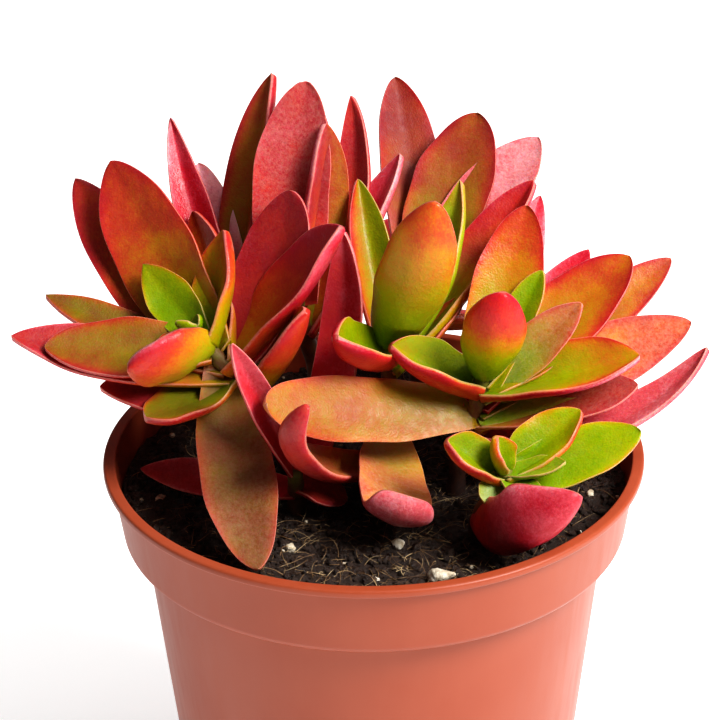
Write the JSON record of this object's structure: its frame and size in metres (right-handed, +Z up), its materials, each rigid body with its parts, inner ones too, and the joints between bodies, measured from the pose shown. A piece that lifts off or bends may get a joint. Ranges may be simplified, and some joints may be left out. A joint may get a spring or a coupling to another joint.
{
  "type": "potted crassula",
  "caption": "Bushy red and green crassula with long pointed leaves in a round terracotta-coloured nursery pot filled with dark soil.",
  "frame": {"origin": "centre of the pot's underside", "axes": "+Z up along the pot's axis, -Y toward the side that is looked at, +X to the viewer's right"},
  "size_m": [0.108, 0.0909, 0.1292],
  "materials": {
    "pot_plastic": "terracotta-coloured, satin, moulded",
    "potting_soil": "dark, matt, crumbly, with fibres and white lumps",
    "leaf": "fleshy leaf, waxy half-gloss, green at the base to red at the tip"
  },
  "bodies": {
    "root": {"pot": "pot_plastic", "soil": "potting_soil", "shoot_left": "leaf", "shoot_rear_left": "leaf", "shoot_back": "leaf", "shoot_centre": "leaf", "shoot_rear": "leaf", "shoot_right": "leaf", "shoot_front": "leaf", "shoot_low": "leaf"}
  },
  "joints": []
}
